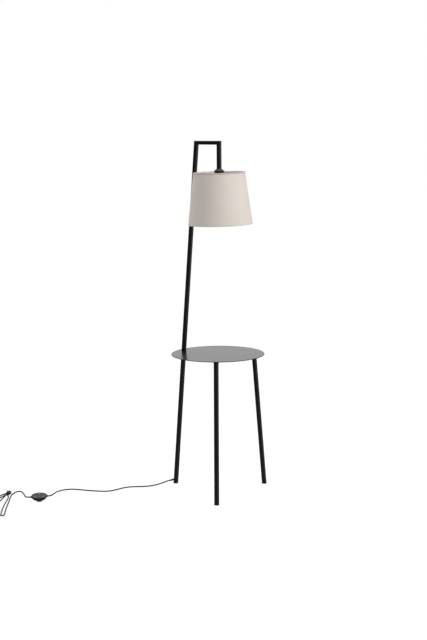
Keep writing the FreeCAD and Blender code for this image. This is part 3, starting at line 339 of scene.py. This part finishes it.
shelf = {
    "satinTube": material("satinBlackTube", satinBlack(satin["tubeRough"])),
    "satinPlate": material("satinBlackPlate", satinBlack(satin["plateRough"])),
    "switchBase": material("switchUnderside", dustyGrey),
    "sheath": material("leadSheath", sheathSkin),
    "glass": material("bulbGlass", clearGlass, Base_Color=(1, 1, 1, 1), IOR=1.5,
                      Transmission_Weight=1.0),
}
bareMetals = {  # name, colour, dark parts, roughness
    "zinc": ("zincPlate", (0.72, 0.72, 0.74), (0.5, 0.51, 0.53), 0.32),
    "steel": ("plainSteel", (0.5, 0.49, 0.48), (0.3, 0.29, 0.29), 0.42),
    "brass": ("socketBrass", (0.78, 0.6, 0.3), (0.6, 0.45, 0.22), 0.3),
    "cap": ("bulbCap", (0.75, 0.75, 0.76), (0.6, 0.6, 0.62), 0.28),
    "pin": ("pinNickel", (0.8, 0.79, 0.76), (0.66, 0.65, 0.62), 0.2),
}
mouldings = {  # name, colour, pale parts, roughness, and the grain's scale where it isn't the usual
    "matteBlack": ("matteBlackPlastic", (0.014, 0.014, 0.014), (0.024, 0.024, 0.024), 0.5),
    "holder": ("holderPlastic", (0.02, 0.02, 0.02), (0.03, 0.03, 0.03), 0.34),
    "insulator": ("whiteInsulator", (0.80, 0.79, 0.76), (0.86, 0.85, 0.82), 0.4),
    "switch": ("switchBlack", (0.010, 0.010, 0.010), (0.018, 0.018, 0.018), 0.38),
    "rubber": ("leadRubber", (0.009, 0.009, 0.009), (0.016, 0.016, 0.016), 0.55),
    "whiteWire": ("whiteCoatedWire", (0.80, 0.80, 0.78), (0.88, 0.88, 0.86), 0.35, 900.0),
    "phosphor": ("filamentPhosphor", (0.80, 0.56, 0.12), (0.86, 0.64, 0.2), 0.5),
    "core": ("coreInsulation", (0.20, 0.12, 0.07), (0.25, 0.16, 0.1), 0.45),
    "tie": ("tiePlastic", (0.012, 0.012, 0.012), (0.02, 0.02, 0.02), 0.45),
}
for finish, (name, *look) in bareMetals.items():
    shelf[finish] = material(name, bareMetal(*look), Metallic=1.0)
for finish, (name, *look) in mouldings.items():
    shelf[finish] = material(name, moulded(*look))

finishes = {
    "satinPlate": ["table_top"],
    "satinTube": ["rear_leg", "front_leg", "side_leg", "rear_leg_flange", "front_leg_flange",
                  "side_leg_flange", "mast_tube", "crossbar_tube", "drop_tube", "cone_cap"],
    "zinc": ["table_studs", "leg_washers", "leg_nuts", "spigot_screw", "holder_nipple",
             "holder_nut", "terminal_screws", "switch_screws"],
    "steel": ["mast_spigot", "drop_insert", "switch_spring"],
    "brass": ["socket_sleeve", "socket_contacts"],
    "cap": ["bulb_base"],
    "pin": ["plug_pins"],
    "matteBlack": ["rear_foot_glide", "front_foot_glide", "side_foot_glide", "switch_clamps"],
    "holder": ["socket_dome", "socket_body", "shade_ring"],
    "insulator": ["socket_core", "switch_module"],
    "switch": ["switch_housing", "switch_button"],
    "switchBase": ["switch_base"],
    "sheath": ["inner_cable", "switch_leads"],
    "rubber": ["cord_relief", "plug_body"],
    "whiteWire": ["shade_carrier", "shade_bottom_ring"],
    "phosphor": ["bulb_filaments"],
    "core": ["socket_wires"],
    "tie": ["hank_tie"],
    "glass": ["bulb_glass", "bulb_stem"],
}


def dress(piece, finish):
    piece.data.materials.clear()
    piece.data.materials.append(shelf[finish])


for finish, names in finishes.items():
    for name in names:
        dress(nodes[name], finish)
for piece in (nearLead, farLead):
    dress(piece, "sheath")
print("finishes given")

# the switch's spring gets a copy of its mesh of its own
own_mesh(nodes["switch_spring"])
print("spring set")

# the shade: its radii at the outside, and depths counted down from its top edge
shade = {"top": 109.5 * mm, "bottom": 136.0 * mm, "height": 219.5 * mm, "lean": 1.2,
         "heading": 32.5, "steps": 360,
         "washerDepth": 33.55 * mm,  # from the drop tube's end down to the washer it leans about
         "topDepth": 14.5 * mm,  # from the drop tube's end down to the shade's top edge
         "sheet": 1.2 * mm}  # fabric and film together
dropMiddle = middle("drop_tube")
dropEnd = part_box("drop_tube")[0].z
shadePlace = (Matrix.Translation((dropMiddle.x, dropMiddle.y, dropEnd - shade["washerDepth"]))
              @ turned(shade["lean"], Vector(towards(shade["heading"])))
              @ Matrix.Translation((0, 0, shade["washerDepth"] - shade["topDepth"])))
shadeSlope = (shade["bottom"] - shade["top"]) / shade["height"]


def shadeRadius(depth):  # the outside of the cone
    return shade["top"] + shadeSlope * depth


def ringSurface(name, profile, ripple):
    # a closed profile of radius and depth carried round the shade's axis:
    # x = r cos a, y = r sin a, z = -depth, where ripple(angle, row) is added to the radius
    # the map is arc length round and length along the profile, both in metres
    profile = np.array(profile)
    steps, count = shade["steps"], len(profile)
    angle = np.arange(steps) * 2 * math.pi / steps
    turn, row = np.meshgrid(angle, np.arange(count), indexing="ij")
    radius = profile[row, 0] + ripple(turn, row)
    points = np.stack([radius * np.cos(turn), radius * np.sin(turn), -profile[row, 1]], -1)
    move = np.array(shadePlace)
    points = points.reshape(-1, 3) @ move[:3, :3].T + move[:3, 3]
    first, second = np.meshgrid(np.arange(steps), np.arange(count), indexing="ij")
    nextTurn, nextRow = (first + 1) % steps, (second + 1) % count
    faces = np.stack([first * count + second, first * count + nextRow,
                      nextTurn * count + nextRow, nextTurn * count + second], -1).reshape(-1, 4)
    mesh = bpy.data.meshes.new(name)
    mesh.from_pydata(points.tolist(), [], faces.tolist())
    sides = np.linalg.norm(np.diff(np.vstack([profile, profile[:1]]), axis=0), axis=1)
    length = np.r_[0, np.cumsum(sides)]
    around = profile[:, 0].mean()
    left = angle[first] * around
    right = (angle[first] + 2 * math.pi / steps) * around
    corners = [(left, second), (left, second + 1), (right, second + 1), (right, second)]
    uv = np.stack([np.stack([across, length[place]], -1) for across, place in corners], 2)
    layer = mesh.uv_layers.new(name="thread")
    layer.data.foreach_set("uv", uv.reshape(-1).astype(np.float32))
    mesh.shade_smooth()
    mesh.update()
    piece = added(name, mesh)
    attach(piece, "lamp")
    return piece


def waves(turn, *terms):  # sum of height * sin(count * angle + phase)
    return sum(height * np.sin(count * turn + phase) for height, count, phase in terms)


laminate = {"cloth": 0.45 * mm, "filmGap": 0.12 * mm, "edge": 0.3 * mm, "clothRows": 46,
            "filmRows": 12, "uneven": ((0.10 * mm, 3, 0.8), (0.06 * mm, 7, 2.1)),
            "seam": 212.0, "lap": 0.35 * mm, "lapHalf": 6 * mm, "lapSoft": 0.4 * mm}


def wall(outer, inner, rows):  # profile of a slanting wall, down its outside and up its inside
    depths = np.linspace(laminate["edge"], shade["height"] - laminate["edge"], rows)
    outside = [(shadeRadius(depth) - outer, depth) for depth in depths]
    inside = [(shadeRadius(depth) - inner, depth) for depth in depths[::-1]]
    return outside + inside


def filmRipple(turn, row):  # a very slight unevenness of the laminate
    return waves(turn, *laminate["uneven"])


def clothRipple(turn, row):
    # the same, and on the outside the glued overlap at the back: a step with soft shoulders,
    # lap / (1 + exp((distance from the seam - half its width) / softness))
    fromSeam = (turn - math.radians(laminate["seam"]) + math.pi) % (2 * math.pi) - math.pi
    past = np.abs(fromSeam * shade["top"]) - laminate["lapHalf"]
    lap = laminate["lap"] / (1 + np.exp(past / laminate["lapSoft"]))
    return np.where(row < laminate["clothRows"], lap, 0) + filmRipple(turn, row)


cloth = ringSurface("shadeFabric", wall(0.0, laminate["cloth"], laminate["clothRows"]), clothRipple)
film = ringSurface("shadeFilm", wall(laminate["cloth"] + laminate["filmGap"], shade["sheet"],
                                     laminate["filmRows"]), filmRipple)

tape = {"width": 6.2 * mm, "back": 5.0 * mm,  # how far it reaches down outside and inside
        "straight": 3 * mm, "proud": 0.45 * mm, "lip": 0.12 * mm, "backLip": 0.1 * mm,
        "bevel": 0.3 * mm, "foldSteps": 9, "foldStart": 0.6 * mm, "foldRise": 0.9 * mm,
        "hollow": 0.35 * mm, "hollowDepth": 1.2 * mm,
        "ripples": ((0.08 * mm, 9, 1), (0.05 * mm, 23, 2))}  # the last is the share of the phase


def tapeLoop(edge, inwards):
    # profile of a tape folded over an edge: up the outside, half a turn over the edge, down the
    # inside, and back beside the edge; inwards is +1 below a top edge and -1 above a bottom one
    def point(radius, depth, out=0.0):
        return (radius + out, edge + inwards * depth)

    def outside(depth):
        return shadeRadius(edge + inwards * depth)

    wallHalf = shade["sheet"] / 2 + tape["proud"]
    centre = shadeRadius(edge) - shade["sheet"] / 2
    width, straight, back = tape["width"], tape["straight"], tape["back"]
    outline = [point(outside(width), width, tape["lip"]),
               point(outside(width), width - tape["bevel"], tape["proud"]),
               point(outside(straight), straight, tape["proud"])]
    outline += [point(centre, tape["foldStart"] - tape["foldRise"] * math.sin(angle),
                      wallHalf * math.cos(angle))
                for angle in np.linspace(0, math.pi, tape["foldSteps"])]
    outline += [point(outside(back) - shade["sheet"], back - tape["bevel"], -tape["proud"]),
                point(outside(back) - shade["sheet"], back, -tape["backLip"]),
                point(centre, tape["hollowDepth"], -tape["hollow"]),
                point(centre, tape["hollowDepth"], tape["hollow"])]
    return outline if inwards > 0 else outline[::-1]


def tapeRipple(phase):
    return lambda turn, row: waves(turn, *((height, count, share * phase)
                                           for height, count, share in tape["ripples"]))


topTape = ringSurface("shadeTopTape", tapeLoop(0.0, 1), tapeRipple(0.4))
bottomTape = ringSurface("shadeBottomTape", tapeLoop(shade["height"], -1), tapeRipple(1.7))

threads = {  # colour in the weave's gaps, paler colour for the thread crowns (painted shade of the weave) and for random clouds, slubs, and the threads' pitch
    "fabric": ((0.600, 0.535, 0.485), (0.695, 0.635, 0.588), (0.530, 0.465, 0.420), 0.62 * mm),
    "topTape": ((0.50, 0.41, 0.37), (0.57, 0.48, 0.44), (0.45, 0.36, 0.33), 0.45 * mm),
    "bottomTape": ((0.55, 0.54, 0.50), (0.62, 0.61, 0.57), (0.50, 0.49, 0.45), 0.45 * mm),
}
weave = {"wobble": (160.0, 2.0), "wobbleReach": 0.5 * mm, "cloud": (14.0, 3.0),
         "slub": (1.0, 3.0, 0.6), "slubLong": 14.0, "slubThin": 900.0,
         "weftFrom": 0.52, "weftShare": 0.6, "warpFrom": 0.54, "warpShare": 0.45, "slubGain": 4.5,
         # the ridge's share in the colour paints shade into the gaps between the thread crowns
         "weaveShadeShare": 0.55, "cloudShare": 0.45, "slubTone": 0.42, "slubHeight": 0.7,
         "rough": 0.86, "cloudSpread": 0.08, "bump": (0.00016, 0.55)}


def linen(colour, pale, slub, pitch):
    # plain weave: two sets of threads, each a rounded ridge |sin| that goes over and under the
    # other as sin * sin does, with longer thick threads both ways
    def surface(shop):
        where = shop.place("UV")
        parts = shop.add("SeparateXYZ", None, {0: where}).socket.node.outputs
        wobble = (shop.noise(where, *weave["wobble"]) - 0.5) * weave["wobbleReach"]
        across, upright = Wire(shop, parts[0]) + wobble, Wire(shop, parts[1]) + wobble
        full = 2 * math.pi / (2 * pitch)
        warp = (across * full).sine()
        weft = (upright * full).sine()
        over = 0.5 + 0.5 * (warp * weft)
        ridge = over * warp.size() + (1 - over) * weft.size()
        long, thin = weave["slubLong"], weave["slubThin"]
        longWeft = shop.noise(shop.stretched(where, (long, thin, 1.0)), *weave["slub"])
        longWarp = shop.noise(shop.stretched(where, (thin, long, 1.0)), *weave["slub"])
        cloud = shop.noise(where, *weave["cloud"])
        thickWeft = ((longWeft - weave["weftFrom"]) * weave["slubGain"]).bounded()
        thickWarp = ((longWarp - weave["warpFrom"]) * weave["slubGain"]).bounded()
        thick = thickWeft * weave["weftShare"] + thickWarp * weave["warpShare"]
        # the tone is paler on the thread crowns and darker in the gaps between them, painted shade
        # of the weave's relief, mixed with random cloudy tone
        share = (ridge * weave["weaveShadeShare"] + cloud * weave["cloudShare"]).bounded()
        tone = shop.blend(share, colour, pale)
        tone = shop.blend(thick.bounded() * weave["slubTone"], tone, slub)
        return {"Base Color": tone, "Roughness": weave["rough"] + weave["cloudSpread"] * cloud,
                "Normal": shop.bump(ridge + weave["slubHeight"] * thick, *weave["bump"])}
    return surface


filmLook = {"colour": (0.78, 0.76, 0.72), "pale": (0.84, 0.82, 0.79), "cloud": (22.0, 2.0),
            "rough": 0.42, "cloudSpread": 0.1}


def filmSkin(shop):
    cloud = shop.noise(shop.place(), *filmLook["cloud"])
    return {"Base Color": shop.blend(cloud, filmLook["colour"], filmLook["pale"]),
            "Roughness": filmLook["rough"] + filmLook["cloudSpread"] * cloud}


shelf["linen"] = material("greigeLinen", linen(*threads["fabric"]), Sheen_Weight=0.12,
                          Sheen_Roughness=0.5)
shelf["topTape"] = material("topTapeCloth", linen(*threads["topTape"]), Sheen_Weight=0.1)
shelf["bottomTape"] = material("bottomTapeCloth", linen(*threads["bottomTape"]), Sheen_Weight=0.1)
shelf["film"] = material("shadeFilmWhite", filmSkin)
for piece, finish, slot in ((cloth, "linen", "greige_linen"), (film, "film", "greige_linen"),
                            (topTape, "topTape", "top_tape"),
                            (bottomTape, "bottomTape", "bottom_tape")):
    dress(piece, finish)
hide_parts("shade_skin")
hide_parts("shade_top_hem")
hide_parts("shade_bottom_hem")
print("shade covered")

# the floor: a white glow to the camera and pale grey to the light; a small matte share takes the
# lamp's shadow, which is clipped to white at this glow and shows faintly at 1.04 or less
studio = {"floorRadius": 14.0, "floorCorners": 64, "floorGrey": (0.86, 0.86, 0.86),
          "floorShow": 0.86,  # share of the plain white that the camera sees
          "floorMirrored": 0.9, "floorGlow": 1.11,
          "front": 0.05,  # how bright the studio is in front of the lamp, as the metal mirrors it
          "sweep": 0.10, "backdrop": 0.02, "upper": 0.7, "ambient": 0.50}
floorTurn = np.linspace(0, 2 * math.pi, studio["floorCorners"] + 1)[:-1]
floorMesh = bpy.data.meshes.new("studioFloor")
rim = np.c_[studio["floorRadius"] * np.cos(floorTurn), studio["floorRadius"] * np.sin(floorTurn),
            0 * floorTurn]
floorMesh.from_pydata(rim.tolist(), [], [list(range(studio["floorCorners"]))])
floor = added("studioFloor", floorMesh)
towardsFront = towards(view["heading"])
floorMaterial = bpy.data.materials.new("paleFloor")
shop = Shop(floorMaterial)
seen, mirrored = shop.rays()
frontness = shop.along(shop.place(), towardsFront)
away = (studio["sweep"] - frontness * studio["sweep"]).bounded()  # the lit part lies behind
shine = studio["front"] + (1 - studio["front"]) * away
glow = shop.add("Emission", None, {"Color": (1, 1, 1),
                                   "Strength": seen * studio["floorGlow"] + (1 - seen) * shine})
matt = shop.add("BsdfDiffuse", None, {"Color": studio["floorGrey"]})
share = (seen * studio["floorShow"] + mirrored * studio["floorMirrored"]).bounded()
shop.add("OutputMaterial", None, {"Surface": shop.add("MixShader", None,
                                                      {0: share, 1: matt, 2: glow})})
floorMesh.materials.append(floorMaterial)

# the room: white to the camera, an even ambient light, and in mirrors a bright back and ceiling
world = bpy.data.worlds.new("whiteStudio")
bpy.context.scene.world = world
shop = Shop(world)
seen, mirrored = shop.rays()
direction = shop.place("Generated")
frontness = shop.along(direction, towardsFront)
upness = shop.along(direction, (0, 0, 1)).most(0.0)
backdrop = (studio["backdrop"] - frontness).bounded()
overhead = studio["upper"] * (upness * upness)
reflected = studio["front"] + (1 - studio["front"]) * backdrop + overhead
level = seen + (1 - seen) * (mirrored * reflected + (1 - mirrored) * studio["ambient"])
shop.add("OutputWorld", None, {"Surface": shop.add("Background", None, {"Color": (1, 1, 1),
                                                                       "Strength": level})})

# the soft lamps: place to the right, to the front and up as the camera sees the lamp, the height
# that they aim at, size and power; the side boxes don't mirror, because they would show as a
# white patch in the plate
softboxes = {
    "keyBox": {"place": (2.7, 2.0, 2.1), "aim": 0.9, "size": (1.6, 2.4), "power": 66.0,
               "mirrors": False},
    "fillBox": {"place": (-3.0, -0.9, 1.8), "aim": 0.9, "size": (1.4, 2.2), "power": 20.0,
                "mirrors": False},
    "topBox": {"place": (0.3, 0.2, 4.2), "aim": 0.6, "size": (1.7, 1.7), "power": 28.0,
               "mirrors": True},
}
for name, box in softboxes.items():
    data = bpy.data.lights.new(name, "AREA")
    data.shape = "RECTANGLE"
    data.size, data.size_y = box["size"]
    data.energy = box["power"]
    lamp = added(name, data)
    rightwards, forwards, up = box["place"]
    frontX, frontY, _ = towardsFront
    place = Vector((forwards * frontX - rightwards * frontY,
                    rightwards * frontX + forwards * frontY, up))
    aim = (Vector((0, 0, box["aim"])) - place).to_track_quat("-Z", "Y")
    lamp.matrix_world = Matrix.Translation(place) @ aim.to_matrix().to_4x4()
    lamp.visible_glossy = box["mirrors"]
bpy.context.scene.view_settings.view_transform = "Standard"
print("studio lit")
